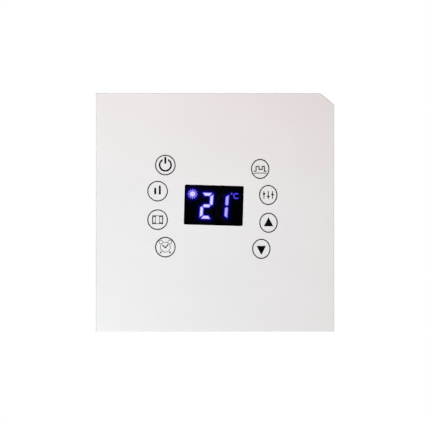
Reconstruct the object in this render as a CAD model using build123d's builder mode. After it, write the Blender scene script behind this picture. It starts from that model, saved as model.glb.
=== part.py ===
"""Wall thermostat: a touch front unit that plugs onto a wall base with a relay and screw terminals.

Millimetres. +X is right, +Z is up, the front faces -Y and the wall is the plane Y = 0. The origin is on
the wall plane, midway between the two wall screws. Depths are given as h, the distance in front of the
wall, so h = -Y and h is negative inside the wall box. Plane.XZ looks the same way: its normal is -Y, so
offset(h) and a positive extrude both go towards the front.
"""

import os
from math import atan2, degrees, hypot, radians, tan

from build123d import *

os.makedirs("parts", exist_ok=True)

# ---------------------------------------------------------------- driving dimensions: front unit
panel_side = 86.0  # the standard square wall-plate size
corner_cut_x = 5.0  # clipped top right corner, along the top edge
corner_cut_z = 4.1  # and down the right edge
panel_thick = 2.0
panel_round = 0.35
front_h = 15.0
panel_back_h = front_h - panel_thick
ink_thick = 0.05

display_x = -0.45
display_z = 2.6
display_turn = -1.6  # the display and its window sit slightly turned, clockwise from the front
window_w = 21.3
window_h = 14.45
window_round = 0.6
lens_gap = 0.08
lens_recess = 0.06

left_ring = (7.4, 7.4)  # width and height; the right-hand rings are a little narrower
right_ring = (6.6, 7.2)
ring_line = 0.36
# Each column bows away from the display, and the right-hand one stands lower, as the display's turn has it.
power_key = (-17.9, 17.1)
heat_key = (-20.7, 7.7)
window_key = (-20.7, -2.6)
timer_key = (-17.9, -12.5)
program_key = (16.3, 15.7)
mode_key = (19.2, 6.3)
up_key = (19.3, -3.7)
down_key = (16.7, -13.1)

frame_inset = 0.4
frame_wall = 1.8
frame_back_h = 0.5
flange_thick = 1.2
flange_opening = 62.0

board_thick = 1.6
control_board_side = 76.0
control_board_h = 7.2
control_front_h = control_board_h + board_thick
boss_spacing = 70.0
boss_r = 3.0
pilot_r = 0.85

module_w = 20.8
module_h = 13.9
module_front_h = panel_back_h - 0.1
cavity_depth = 1.0
digit_w = 4.5
digit_h = 9.5
digit_slant = radians(2.9)
segment_line = 1.2
digit_x = (-2.61, 3.0)
digit_z = -0.25

spring_r = 2.6
spring_wire_r = 0.2
spring_pitch = 1.2

# ---------------------------------------------------------------- driving dimensions: wall base
plate_side = 79.0
plate_thick = 1.0
plate_corner = 5.0
wall_screw_spacing = 60.0
slot_w = 4.2
slot_length = 7.0

box_w = 48.0
box_h = 50.0
box_depth = 26.0  # behind the wall
box_wall = 1.6
box_round = 3.0
box_gap = 0.5
tab_thick = 1.2
tab_w = 44.0
tab_reach = 4.5
cover_thick = 1.2
cover_back_h = plate_thick + tab_thick
cover_front_h = cover_back_h + cover_thick
cover_screw_x = 19.0
cover_screw_z = 27.3

power_board_w = 43.8
power_board_h = 45.8
power_front_y = 5.2
power_back_y = power_front_y + board_thick
lead_r = 0.4
lead_hole_r = 0.6
lead_tip_y = 3.9

header_x = 0.0
header_z = 16.0
header_pitch = 2.54
header_columns = 4
header_rows = 2
pin_side = 0.62

# ---------------------------------------------------------------- driving dimensions: terminals
pole_pitch = 6.35
pole_count = 6
block_top_z = -12.2
block_bottom_z = -23.2
block_back_y = 24.3
cage_w = 5.0
cage_side_wall = 0.8
cage_low_y = 8.5
cage_high_y = 16.9
cage_low_wall = 1.0
cage_high_wall = 1.4
cage_top_z = -15.2
cage_bottom_z = -21.2
cage_travel = 2.5
cage_room = 0.15
bar_w = 3.0
bar_thick = 0.8
bar_y = 13.0
screw_z = (cage_top_z + cage_bottom_z) / 2
screw_r = 1.5
screw_tip_y = 13.85
head_seat_y = 20.4
head_r = 2.4
head_thick = 1.8
head_bore_r = 2.6

# ---------------------------------------------------------------- driving dimensions: relay
relay_x = -15.6
relay_w = 12.6
relay_low_z = -9.5
relay_high_z = 19.0
relay_back_y = 22.6
relay_wall = 0.7
core_y = 15.6
core_r = 1.5
yoke_w = 9.0
pivot_y = 9.9
pivot_z = 9.9
pivot_r = 0.25


def front_plane(h):
    """The plane parallel to the wall at height h, looking to the front."""
    return Plane.XZ.offset(h)


def finish(piece, label, turned=False):
    """Names a finished piece, turned with the display if so asked, and writes its STEP file."""
    solid = piece.part
    if turned:
        solid = solid.rotate(Axis((display_x, 0, display_z), (0, -1, 0)), display_turn)
    solid.label = label
    export_step(solid, f"parts/{label}.step")


def outline(inset):
    """Adds the square with its clipped top right corner to the current sketch, shrunk by inset."""
    half = panel_side / 2
    Polygon(
        (-half, -half),
        (half, -half),
        (half, half - corner_cut_z),
        (half - corner_cut_x, half),
        (-half, half),
        align=None,
    )
    if inset:
        offset(amount=-inset, kind=Kind.INTERSECTION)


def box(x0, x1, y0, y1, z0, z1, mode=Mode.ADD):
    """Adds or cuts the box between these coordinates in the current part."""
    with Locations(((x0 + x1) / 2, (y0 + y1) / 2, (z0 + z1) / 2)):
        Box(x1 - x0, y1 - y0, z1 - z0, mode=mode)


def stroke(start, end, width):
    """Adds a straight line of ink with round ends to the current sketch."""
    dx, dz = end[0] - start[0], end[1] - start[1]
    with Locations(((start[0] + end[0]) / 2, (start[1] + end[1]) / 2)):
        SlotCenterToCenter(hypot(dx, dz), width, rotation=degrees(atan2(dz, dx)))


def rows(spacing_x, spacing_z):
    """The four corners of a rectangle about the origin."""
    return [(sx * spacing_x / 2, sz * spacing_z / 2) for sx in (-1, 1) for sz in (-1, 1)]


left_keys = [power_key, heat_key, window_key, timer_key]
right_keys = [program_key, mode_key, up_key, down_key]
display_centre = (display_x, display_z)

# ================================================================ front unit: panel, lens and print
with BuildPart() as front_panel:
    with BuildSketch(front_plane(panel_back_h)):
        outline(0)
    extrude(amount=panel_thick)
    fillet(front_panel.faces().sort_by(Axis.Y)[0].outer_wire().edges(), panel_round)
    with BuildSketch(front_plane(panel_back_h)):
        with Locations(Location((*display_centre, 0), (0, 0, display_turn))):
            RectangleRounded(window_w, window_h, window_round)
    extrude(amount=panel_thick, mode=Mode.SUBTRACT)
finish(front_panel, "front_panel")

with BuildPart() as display_lens:
    with BuildSketch(front_plane(panel_back_h)):
        with Locations(display_centre):
            RectangleRounded(window_w - 2 * lens_gap, window_h - 2 * lens_gap, window_round - lens_gap)
    extrude(amount=panel_thick - lens_recess)
    fillet(display_lens.faces().sort_by(Axis.Y)[0].edges(), 0.1)
finish(display_lens, "display_lens", turned=True)

with BuildPart() as key_rings:
    with BuildSketch(front_plane(front_h)):
        for keys, (ring_w, ring_h) in ((left_keys, left_ring), (right_keys, right_ring)):
            with Locations(keys):
                Ellipse(ring_w / 2, ring_h / 2)
                Ellipse(ring_w / 2 - ring_line, ring_h / 2 - ring_line, mode=Mode.SUBTRACT)
    extrude(amount=ink_thick)
finish(key_rings, "key_rings")

with BuildPart() as power_symbol:
    with BuildSketch(front_plane(front_h)):
        with Locations(power_key):
            Circle(2.38)
            Circle(1.79, mode=Mode.SUBTRACT)
        with Locations((power_key[0], power_key[1] + 2)):
            Rectangle(1.9, 2, mode=Mode.SUBTRACT)
        stroke((power_key[0], power_key[1] + 0.82), (power_key[0], power_key[1] + 2.6), 0.7)
    extrude(amount=ink_thick)
finish(power_symbol, "power_symbol")

with BuildPart() as heat_level_symbol:
    with BuildSketch(front_plane(front_h)):
        for x, top in ((-0.85, 1.25), (0.8, 1.95)):
            with Locations((heat_key[0] + x, heat_key[1] + (top - 1.15) / 2)):
                RectangleRounded(0.68, top + 1.15, 0.12)
    extrude(amount=ink_thick)
finish(heat_level_symbol, "heat_level_symbol")

# A window with both casements swung open.
with BuildPart() as open_window_symbol:
    with BuildSketch(front_plane(front_h)):
        x, z = window_key
        for side in (-1, 1):
            stroke((x + side * 1.8, z - 1.4), (x + side * 1.8, z + 1.4), 0.34)
            stroke((x + side * 0.75, z - 1.15), (x + side * 0.75, z + 1.15), 0.17)
            for up in (-1, 1):
                stroke((x + side * 1.75, z + up * 1.4), (x + side * 0.75, z + up * 1.15), 0.4)
        for up in (-1, 1):
            stroke((x - 1.75, z + up * 1.42), (x + 1.75, z + up * 1.42), 0.18)
    extrude(amount=ink_thick)
finish(open_window_symbol, "open_window_symbol")

with BuildPart() as timer_symbol:
    with BuildSketch(front_plane(front_h)):
        x, z = timer_key
        with Locations((x - 1.6, z + 1.85), (x + 1.6, z + 1.85)):
            Circle(0.76)
            Circle(0.6, mode=Mode.SUBTRACT)
        with Locations(timer_key):
            Circle(2.0, mode=Mode.SUBTRACT)
            Circle(1.86)
            Circle(1.7, mode=Mode.SUBTRACT)
        stroke((x - 0.9, z + 0.6), (x, z - 0.22), 0.36)
        stroke((x, z - 0.22), (x + 0.93, z + 0.86), 0.36)
        for side in (-1, 1):
            stroke((x + side * 1.25, z - 1.35), (x + side * 1.68, z - 1.92), 0.14)
            with Locations((x + side * 1.72, z - 1.98)):
                Circle(0.28)
    extrude(amount=ink_thick)
finish(timer_symbol, "timer_symbol")

# A day's programme: the set temperature stepping up and down.
with BuildPart() as program_symbol:
    with BuildSketch(front_plane(front_h)):
        x, z = program_key
        steps = [(-2.2, -0.8), (-1.5, -0.8), (-1.5, 0.9), (-0.4, 0.9), (-0.4, -0.2), (0.7, -0.2)]
        steps += [(0.7, 0.9), (1.5, 0.9), (1.5, -0.8), (2.2, -0.8)]
        for start, end in zip(steps, steps[1:]):
            stroke((x + start[0], z + start[1]), (x + end[0], z + end[1]), 0.34)
        stroke((x - 2.2, z - 1.5), (x + 2.2, z - 1.5), 0.24)
    extrude(amount=ink_thick)
finish(program_symbol, "program_symbol")

# Three sliders, each with its knob at another height.
with BuildPart() as mode_symbol:
    with BuildSketch(front_plane(front_h)):
        x, z = mode_key
        for dx, knob in ((-1.55, 0.45), (0, -0.55), (1.55, 0.15)):
            stroke((x + dx, z - 1.25), (x + dx, z + 1.25), 0.3)
            with Locations((x + dx, z + knob)):
                RectangleRounded(0.95, 0.52, 0.18)
    extrude(amount=ink_thick)
finish(mode_symbol, "mode_symbol")

for key, base, tip, label in ((up_key, -1.25, 1.98, "up_arrow"), (down_key, 1.05, -2.18, "down_arrow")):
    with BuildPart() as arrow:
        with BuildSketch(front_plane(front_h)):
            x, z = key
            Polygon((x - 1.66, z + base), (x + 1.66, z + base), (x, z + tip), align=None)
        extrude(amount=ink_thick)
    finish(arrow, label)

# ================================================================ front unit: frame
inner_inset = frame_inset + frame_wall
flange_back_h = panel_back_h - flange_thick
clip_x = 17.0
clip_w = 6.0
pocket_low_h, pocket_high_h = 3.1, 5.1
inner_half = panel_side / 2 - inner_inset

with BuildPart() as front_frame:
    with BuildSketch(front_plane(frame_back_h)):
        outline(frame_inset)
    extrude(amount=panel_back_h - frame_back_h)
    with BuildSketch(front_plane(frame_back_h)):
        outline(inner_inset)
    extrude(amount=flange_back_h - frame_back_h, mode=Mode.SUBTRACT)
    with BuildSketch(front_plane(flange_back_h)):
        RectangleRounded(flange_opening, flange_opening, 2)
    extrude(amount=flange_thick, mode=Mode.SUBTRACT)
    # screw bosses for the control board
    with BuildSketch(front_plane(control_front_h)):
        with Locations(rows(boss_spacing, boss_spacing)):
            Circle(boss_r)
    extrude(amount=flange_back_h - control_front_h)
    with BuildSketch(front_plane(control_front_h)):
        with Locations(rows(boss_spacing, boss_spacing)):
            Circle(pilot_r)
    extrude(amount=2.8, mode=Mode.SUBTRACT)
    # stiffening ribs behind the flange
    for side in (-1, 1):
        for x in (-20, 0, 20):
            box(x - 0.6, x + 0.6, -flange_back_h, -flange_back_h + 1.2, *sorted((side * 31.5, side * 41)))
            box(*sorted((side * 31.5, side * 41)), -flange_back_h, -flange_back_h + 1.2, x - 0.6, x + 0.6)
    # a pocket for each retaining clip
    for side in (-1, 1):
        for x in (-clip_x, clip_x):
            wall_z = sorted((side * (inner_half - 0.5), side * (inner_half + 0.8)))
            box(x - 3.6, x + 3.6, -pocket_high_h, -pocket_low_h, *wall_z, mode=Mode.SUBTRACT)
    # vents through the top and bottom walls, so that room air passes the sensor
    for i in range(9):
        x = (i - 4) * 3.0
        box(x - 0.7, x + 0.7, -9.5, -4.0, -panel_side / 2, panel_side / 2, mode=Mode.SUBTRACT)
    # release notch for a screwdriver in the bottom edge
    box(-4, 4, -1.6, -frame_back_h, -panel_side / 2, -inner_half + 0.5, mode=Mode.SUBTRACT)
finish(front_frame, "front_frame")

# ================================================================ front unit: control board and display
display_pin_places = [
    (display_x + (i - 2) * header_pitch, display_z + side * 5.6) for i in range(5) for side in (-1, 1)
]
header_places = [
    (header_x + (i - (header_columns - 1) / 2) * header_pitch, header_z + (j - 0.5) * header_pitch)
    for i in range(header_columns)
    for j in range(header_rows)
]
sensor_x, sensor_z = -7.5, -35.0
battery_x, battery_z = 21.0, 18.0
buzzer_x, buzzer_z = 15.0, -20.0
chip_x, chip_z = -14.0, -14.0

with BuildPart() as control_board:
    with BuildSketch(front_plane(control_board_h)):
        Rectangle(control_board_side, control_board_side)
        chamfer(vertices(), 1.5)
        with Locations(rows(boss_spacing, boss_spacing)):
            Circle(1.2, mode=Mode.SUBTRACT)
        with Locations(display_pin_places + header_places):
            Circle(0.5, mode=Mode.SUBTRACT)
    extrude(amount=board_thick)
finish(control_board, "control_board")

with BuildPart() as control_board_screws:
    with BuildSketch(front_plane(control_board_h - 1.2)):
        with Locations(rows(boss_spacing, boss_spacing)):
            Circle(1.9)
    extrude(amount=1.2)
    fillet(control_board_screws.faces().group_by(Axis.Y)[-1].edges(), 0.4)
    with BuildSketch(front_plane(control_board_h)):
        with Locations(rows(boss_spacing, boss_spacing)):
            Circle(pilot_r - 0.02)
    extrude(amount=board_thick + 2.5)
    with BuildSketch(front_plane(control_board_h - 1.2)):
        with Locations(rows(boss_spacing, boss_spacing)):
            Rectangle(2.3, 0.45)
            Rectangle(0.45, 2.3)
    extrude(amount=0.6, mode=Mode.SUBTRACT)
finish(control_board_screws, "control_board_screws")


def segments(centre_x, centre_z):
    """The seven bars of one digit as outlines, leaning to the right, keyed a to g as usual."""
    w, h, t = digit_w / 2, digit_h / 2, segment_line
    top = [(0.47 - w, h), (w - 0.47, h), (w - t - 0.14, h - t), (t + 0.14 - w, h - t)]
    upper = [(w, h - 0.52), (w, 0.5), (w - t / 2, 0.2), (w - t, 0.66), (w - t, h - t - 0.12)]
    middle = [(t / 2 + 0.2 - w, 0), (t + 0.1 - w, t / 2), (w - t - 0.1, t / 2)]
    middle += [(-x, -z) for x, z in middle]
    bars = {
        "a": top,
        "b": upper,
        "c": [(x, -z) for x, z in upper],
        "d": [(x, -z) for x, z in top],
        "e": [(-x, -z) for x, z in upper],
        "f": [(-x, z) for x, z in upper],
        "g": middle,
    }
    return {
        name: [(centre_x + x + tan(digit_slant) * z, centre_z + z) for x, z in bar]
        for name, bar in bars.items()
    }


digits = [segments(display_x + x, display_z + digit_z) for x in digit_x]
lit_bars = [digits[0][n] for n in "abged"] + [digits[1][n] for n in "bc"]
unlit_bars = [digits[0][n] for n in "cf"] + [digits[1][n] for n in "adefg"]
sun_centre = (display_x - 7.78, display_z + 3.89)
degree_centre = (display_x + 6.38, display_z + 4.38)
letter_centre = (display_x + 8.06, display_z + 3.58)
ray_count = 12


def sun_shape():
    """Adds the disc and rays of the heating symbol to the current sketch."""
    with Locations(sun_centre):
        Circle(1.0)
        with PolarLocations(1.42, ray_count):
            Rectangle(0.5, 0.24)


def celsius_shape():
    """Adds the degree dot and the open round letter to the current sketch."""
    with Locations(letter_centre):
        Circle(1.12)
        Circle(0.66, mode=Mode.SUBTRACT)
    with Locations((letter_centre[0] + 0.95, letter_centre[1])):
        Rectangle(1.1, 1.15, mode=Mode.SUBTRACT)
    with Locations(degree_centre):
        Circle(0.38)


def bars_shape(bars):
    """Adds these digit bars to the current sketch."""
    for bar in bars:
        Polygon(*bar, align=None)


with BuildPart() as display_housing:
    with BuildSketch(front_plane(control_front_h)):
        with Locations(display_centre):
            Rectangle(module_w, module_h)
    extrude(amount=module_front_h - control_front_h)
    with BuildSketch(front_plane(module_front_h - cavity_depth)):
        bars_shape(lit_bars + unlit_bars)
        sun_shape()
        celsius_shape()
    extrude(amount=cavity_depth, mode=Mode.SUBTRACT)
finish(display_housing, "display_housing", turned=True)

for label, shape in (
    ("lit_segments", lambda: bars_shape(lit_bars)),
    ("unlit_segments", lambda: bars_shape(unlit_bars)),
    ("sun_indicator", sun_shape),
    ("celsius_indicator", celsius_shape),
):
    with BuildPart() as indicator:
        with BuildSketch(front_plane(module_front_h - cavity_depth)):
            shape()
        extrude(amount=cavity_depth)
    finish(indicator, label, turned=True)

with BuildPart() as display_pins:
    with BuildSketch(front_plane(control_board_h - 0.9)):
        with Locations(display_pin_places):
            Circle(0.25)
    extrude(amount=control_front_h - control_board_h + 0.9)
finish(display_pins, "display_pins")

# A coil spring under each key carries the touch signal from the back of the panel to the board.
with BuildPart() as touch_springs:
    for x, z in left_keys + right_keys:
        with BuildLine() as coil:
            Helix(
                pitch=spring_pitch,
                height=panel_back_h - control_front_h - 2.2 * spring_wire_r,
                radius=spring_r,
                center=(x, -control_front_h - 1.1 * spring_wire_r, z),
                direction=(0, -1, 0),
            )
        with BuildSketch(Plane(origin=coil.line @ 0, z_dir=coil.line % 0)):
            Circle(spring_wire_r)
        sweep(path=coil.line, is_frenet=True)
finish(touch_springs, "touch_springs")

with BuildPart() as touch_controller:
    body_y = (-control_board_h + 0.15, -control_board_h + 1.25)
    box(chip_x - 3.5, chip_x + 3.5, *body_y, chip_z - 3.5, chip_z + 3.5)
    chamfer(touch_controller.faces().sort_by(Axis.Y)[-1].edges(), 0.2)
    for i in range(8):
        along = (i - 3.5) * 0.8
        for side in (-1, 1):
            reach = sorted((side * 3.4, side * 4.4))
            width = (along - 0.15, along + 0.15)
            depth = (-control_board_h, -control_board_h + 0.35)
            box(chip_x + reach[0], chip_x + reach[1], *depth, chip_z + width[0], chip_z + width[1])
            box(chip_x + width[0], chip_x + width[1], *depth, chip_z + reach[0], chip_z + reach[1])
finish(touch_controller, "touch_controller")

with BuildPart() as buzzer:
    with BuildSketch(front_plane(control_board_h)):
        with Locations((buzzer_x, buzzer_z)):
            Circle(4.6)
    extrude(amount=-3.0)
    chamfer(buzzer.faces().sort_by(Axis.Y)[-1].edges(), 0.3)
    with BuildSketch(front_plane(control_board_h - 3.0)):
        with Locations((buzzer_x, buzzer_z)):
            Circle(0.8)
    extrude(amount=1.2, mode=Mode.SUBTRACT)
finish(buzzer, "buzzer")

cell_r = 6.25
with BuildPart() as battery_holder:
    with BuildSketch(front_plane(control_board_h)):
        with Locations((battery_x, battery_z)):
            Circle(cell_r + 1.1)
            Rectangle(2 * cell_r + 5.0, 5.0)
    extrude(amount=-3.0)
    with BuildSketch(front_plane(control_board_h - 3.0)):
        with Locations((battery_x, battery_z)):
            Circle(cell_r + 0.12)
        with Locations((battery_x, battery_z + cell_r)):
            Rectangle(6.0, 6.0)
    extrude(amount=2.3, mode=Mode.SUBTRACT)
finish(battery_holder, "battery_holder")

with BuildPart() as backup_battery:
    with BuildSketch(front_plane(control_board_h - 0.7)):
        with Locations((battery_x, battery_z)):
            Circle(cell_r)
    extrude(amount=-1.6)
    with BuildSketch(front_plane(control_board_h - 2.3)):
        with Locations((battery_x, battery_z)):
            Circle(cell_r - 0.6)
    extrude(amount=-0.4)
    fillet(backup_battery.faces().sort_by(Axis.Y)[-1].edges(), 0.2)
finish(backup_battery, "backup_battery")

with BuildPart() as room_sensor:
    with Locations((sensor_x, -4.9, sensor_z)):
        Sphere(1.35)
    for x in (sensor_x - 0.6, sensor_x + 0.6):
        box(x - 0.2, x + 0.2, -control_board_h, -5.5, sensor_z - 0.2, sensor_z + 0.2)
finish(room_sensor, "room_sensor")

header_w = header_columns * header_pitch
header_h = header_rows * header_pitch
header_body_h = control_board_h - 2.5
with BuildPart() as pin_header:
    with BuildSketch(front_plane(control_board_h)):
        with Locations((header_x, header_z)):
            Rectangle(header_w, header_h)
        with Locations(header_places):
            Rectangle(pin_side + 0.04, pin_side + 0.04, mode=Mode.SUBTRACT)
    extrude(amount=header_body_h - control_board_h)
finish(pin_header, "pin_header")

with BuildPart() as header_pins:
    with BuildSketch(front_plane(-3.0)):
        with Locations(header_places):
            Rectangle(pin_side, pin_side)
    extrude(amount=control_front_h + 0.8 + 3.0)
    chamfer(header_pins.faces().group_by(Axis.Y)[-1].edges(), 0.15)
finish(header_pins, "header_pins")

# ================================================================ wall base: plate, clips, box and cover
with BuildPart() as mounting_plate:
    with BuildSketch(front_plane(0)):
        Rectangle(plate_side, plate_side)
        chamfer(vertices(), plate_corner)
        RectangleRounded(box_w + 2 * box_gap, box_h + 2 * box_gap, box_round + box_gap, mode=Mode.SUBTRACT)
        with Locations((-wall_screw_spacing / 2, 0), (wall_screw_spacing / 2, 0)):
            SlotOverall(slot_length, slot_w, mode=Mode.SUBTRACT)
        with Locations(rows(2 * cover_screw_x, 2 * cover_screw_z)):
            Circle(1.22, mode=Mode.SUBTRACT)
    extrude(amount=plate_thick)
    # embossed stiffening rims beside the box
    for side in (-1, 1):
        for up in (-1, 1):
            rim_x = sorted((side * 36.6, side * 37.8))
            rim_z = sorted((up * 9, up * 26))
            box(*rim_x, -plate_thick - 0.6, -plate_thick, *rim_z)
finish(mounting_plate, "mounting_plate")

# Spring clips: a foot on the plate, then an upright whose elbow presses outwards into the frame's pocket.
clip_line = 0.4
with BuildPart() as retaining_clips:
    for side in (-1, 1):
        for x in (-clip_x, clip_x):
            with BuildSketch(Plane.YZ.offset(x - clip_w / 2)):
                with BuildLine():
                    Polyline(
                        (-plate_thick - clip_line / 2, side * 33.4),
                        (-plate_thick - clip_line / 2, side * 38.9),
                        (-2.6, side * 39.6),
                        (-4.1, side * 41.0),
                        (-5.4, side * 39.6),
                        (-6.4, side * 39.0),
                    )
                trace(line_width=clip_line)
            extrude(amount=clip_w)
finish(retaining_clips, "retaining_clips")

inner_box_w, inner_box_h = box_w - 2 * box_wall, box_h - 2 * box_wall
pole_x = [(i - (pole_count - 1) / 2) * pole_pitch for i in range(pole_count)]
screw_places = [(x, screw_z) for x in pole_x]
entry_w, entry_low_y, entry_high_y = 3.6, 9.6, 12.9

with BuildPart() as rear_housing:
    with BuildSketch(front_plane(-box_depth)):
        RectangleRounded(box_w, box_h, box_round)
    extrude(amount=box_depth + cover_back_h)
    fillet(rear_housing.faces().sort_by(Axis.Y)[-1].edges(), 1.0)
    with BuildSketch(front_plane(plate_thick)):
        with Locations((0, box_h / 2 + tab_reach / 2 - 1), (0, -box_h / 2 - tab_reach / 2 + 1)):
            Rectangle(tab_w, tab_reach + 2)
    extrude(amount=tab_thick)
    with BuildSketch(front_plane(-box_depth + box_wall)):
        RectangleRounded(inner_box_w, inner_box_h, box_round - box_wall)
    extrude(amount=box_depth - box_wall + cover_back_h, mode=Mode.SUBTRACT)
    with BuildSketch(front_plane(plate_thick)):
        with Locations(rows(2 * cover_screw_x, 2 * cover_screw_z)):
            Circle(1.4)
    extrude(amount=tab_thick, mode=Mode.SUBTRACT)
    # corner posts that the power board rests on
    for sx in (-1, 1):
        for sz in (-1, 1):
            post_x = sorted((sx * (inner_box_w / 2 - 2.5), sx * inner_box_w / 2))
            post_z = sorted((sz * (inner_box_h / 2 - 2.5), sz * inner_box_h / 2))
            box(*post_x, power_back_y, box_depth - box_wall, *post_z)
    # screwdriver holes over the terminal screws
    with BuildSketch(front_plane(-box_depth)):
        with Locations(screw_places):
            Circle(head_bore_r)
    extrude(amount=box_wall, mode=Mode.SUBTRACT)
    # wire windows in the bottom wall
    window_y = (entry_low_y - 0.2, entry_high_y + 0.2)
    for x in pole_x:
        box(x - 1.9, x + 1.9, *window_y, -box_h / 2, -inner_box_h / 2, mode=Mode.SUBTRACT)
    # heat vents behind the relay and the power supply
    for i in range(11):
        x = (i - 5) * 3.4
        box(x - 0.6, x + 0.6, box_depth - box_wall, box_depth, -4, 16, mode=Mode.SUBTRACT)
finish(rear_housing, "rear_housing")

with BuildPart() as base_cover:
    with BuildSketch(front_plane(cover_back_h)):
        RectangleRounded(box_w, box_h + 2 * tab_reach, 1.5)
        with Locations((header_x, header_z)):
            Rectangle(header_w + 0.7, header_h + 0.7, mode=Mode.SUBTRACT)
        with Locations([(x, -12) for x in range(-12, 13, 3)]):
            SlotOverall(14, 1.3, rotation=90, mode=Mode.SUBTRACT)
    extrude(amount=cover_thick)
    # posts that hold the power board down
    with BuildSketch(front_plane(cover_back_h)):
        with Locations(rows(2 * 20.2, 2 * 21.2)):
            Circle(1.4)
    extrude(amount=-power_front_y - cover_back_h)
    screw_spots = rows(2 * cover_screw_x, 2 * cover_screw_z)
    with Locations([Location((x, -cover_front_h, z), (90, 0, 0)) for x, z in screw_spots]):
        CounterSinkHole(1.4, 2.4, cover_thick, 90)
finish(base_cover, "base_cover")

with BuildPart() as cover_screws:
    for x, z in rows(2 * cover_screw_x, 2 * cover_screw_z):
        with BuildSketch(front_plane(cover_front_h - 0.9)):
            with Locations((x, z)):
                Circle(1.2)
        with BuildSketch(front_plane(cover_front_h - 0.02)):
            with Locations((x, z)):
                Circle(2.1)
        loft()
        with BuildSketch(front_plane(0.05)):
            with Locations((x, z)):
                Circle(1.2)
        extrude(amount=cover_front_h - 0.95)
        with BuildSketch(front_plane(cover_front_h - 0.02)):
            with Locations((x, z)):
                Rectangle(2.2, 0.4)
                Rectangle(0.4, 2.2)
        extrude(amount=-0.5, mode=Mode.SUBTRACT)
finish(cover_screws, "cover_screws")

# ================================================================ wall base: power board and its parts
module_low_x, module_high_x, module_low_z, module_high_z = -8.4, 11.6, -11.2, 22.2
fuse_x, fuse_z, fuse_r = 17.2, 5.2, 4.2
can_x, can_z, can_r = 17.2, 15.4, 4.0
disc_x, disc_y, disc_z, disc_r, disc_thick = 15.4, 12.8, -5.6, 5.0, 4.2
module_leads = [(module_low_x + 2.5, module_low_z + 2.5), (module_high_x - 2.5, module_low_z + 2.5)]
module_leads += [(x, module_high_z - 2.5) for x in (module_low_x + 2.5, module_high_x - 2.5)]
fuse_leads = [(fuse_x - 2.5, fuse_z), (fuse_x + 2.5, fuse_z)]
can_leads = [(can_x - 1.75, can_z), (can_x + 1.75, can_z)]
disc_leads = [(disc_x, disc_z - 3.0), (disc_x, disc_z + 3.0)]
relay_leads = [(relay_x + dx, z) for dx in (-3.8, 3.8) for z in (-7.0, 13.0, 16.5)]
bar_leg_z = -14.0
bar_leads = [(x, bar_leg_z) for x in pole_x]


def leads(places, root_y):
    """Adds round solder leads from root_y through the power board to the current part."""
    with Locations([(x, (root_y + lead_tip_y) / 2, z) for x, z in places]):
        Cylinder(lead_r, root_y - lead_tip_y, rotation=(90, 0, 0))


with BuildPart() as power_board:
    with BuildSketch(front_plane(-power_back_y)):
        Rectangle(power_board_w, power_board_h)
        chamfer(vertices(), 1.2)
        with Locations(module_leads + fuse_leads + can_leads + disc_leads + relay_leads):
            Circle(lead_hole_r, mode=Mode.SUBTRACT)
        with Locations(bar_leads):
            Rectangle(bar_w + 0.3, bar_thick + 0.3, mode=Mode.SUBTRACT)
    extrude(amount=board_thick)
finish(power_board, "power_board")

socket_front_h = cover_front_h - 0.1
with BuildPart() as board_socket:
    with BuildSketch(front_plane(-power_front_y)):
        with Locations((header_x, header_z)):
            Rectangle(header_w, header_h)
    extrude(amount=power_front_y + socket_front_h)
    with BuildSketch(front_plane(socket_front_h)):
        with Locations(header_places):
            Rectangle(1.0, 1.0)
    extrude(amount=-(socket_front_h + 4.0), mode=Mode.SUBTRACT)
    # surface-mount feet along both sides
    for x, z in header_places:
        side = 1 if z > header_z else -1
        feet_z = sorted((header_z + side * (header_h / 2 - 0.4), header_z + side * (header_h / 2 + 1.2)))
        box(x - 0.3, x + 0.3, power_front_y - 0.3, power_front_y, *feet_z)
finish(board_socket, "board_socket")

with BuildPart() as power_module:
    box(module_low_x, module_high_x, power_back_y + 0.1, 21.9, module_low_z, module_high_z)
    fillet(power_module.edges().filter_by(Axis.Y), 0.8)
    chamfer(power_module.faces().sort_by(Axis.Y)[-1].edges(), 0.4)
    leads(module_leads, power_back_y + 0.1)
finish(power_module, "power_module")

with BuildPart() as fuse:
    with BuildSketch(front_plane(-power_back_y - 0.1)):
        with Locations((fuse_x, fuse_z)):
            Circle(fuse_r)
    extrude(amount=-8.0)
    fillet(fuse.faces().sort_by(Axis.Y)[-1].edges(), 0.5)
    leads(fuse_leads, power_back_y + 0.1)
finish(fuse, "fuse")

with BuildPart() as capacitor:
    with BuildSketch(front_plane(-power_back_y - 0.1)):
        with Locations((can_x, can_z)):
            Circle(can_r)
    extrude(amount=-12.5)
    fillet(capacitor.faces().sort_by(Axis.Y)[-1].edges(), 0.6)
    with BuildSketch(front_plane(-power_back_y - 1.4)):
        with Locations((can_x, can_z)):
            Circle(can_r + 1)
            Circle(can_r - 0.3, mode=Mode.SUBTRACT)
    extrude(amount=-0.7, mode=Mode.SUBTRACT)
    leads(can_leads, power_back_y + 0.1)
finish(capacitor, "capacitor")

with BuildPart() as varistor:
    with BuildSketch(Plane.YZ.offset(disc_x - disc_thick / 2)):
        with Locations((disc_y, disc_z)):
            Circle(disc_r)
    extrude(amount=disc_thick)
    fillet(varistor.edges().filter_by(GeomType.CIRCLE), 1.2)
    leads(disc_leads, disc_y - 3.0)
finish(varistor, "varistor")

# ================================================================ wall base: relay
relay_low_x, relay_high_x = relay_x - relay_w / 2, relay_x + relay_w / 2
with BuildPart() as relay_case:
    box(relay_low_x, relay_high_x, power_back_y + 0.2, relay_back_y, relay_low_z, relay_high_z)
    fillet(relay_case.edges().filter_by(Axis.Y), 0.6)
    fillet(relay_case.faces().sort_by(Axis.Y)[-1].edges(), 0.4)
    box(
        relay_low_x + relay_wall,
        relay_high_x - relay_wall,
        power_back_y + 0.2,
        relay_back_y - relay_wall,
        relay_low_z + relay_wall,
        relay_high_z - relay_wall,
        mode=Mode.SUBTRACT,
    )
finish(relay_case, "relay_case")

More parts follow.
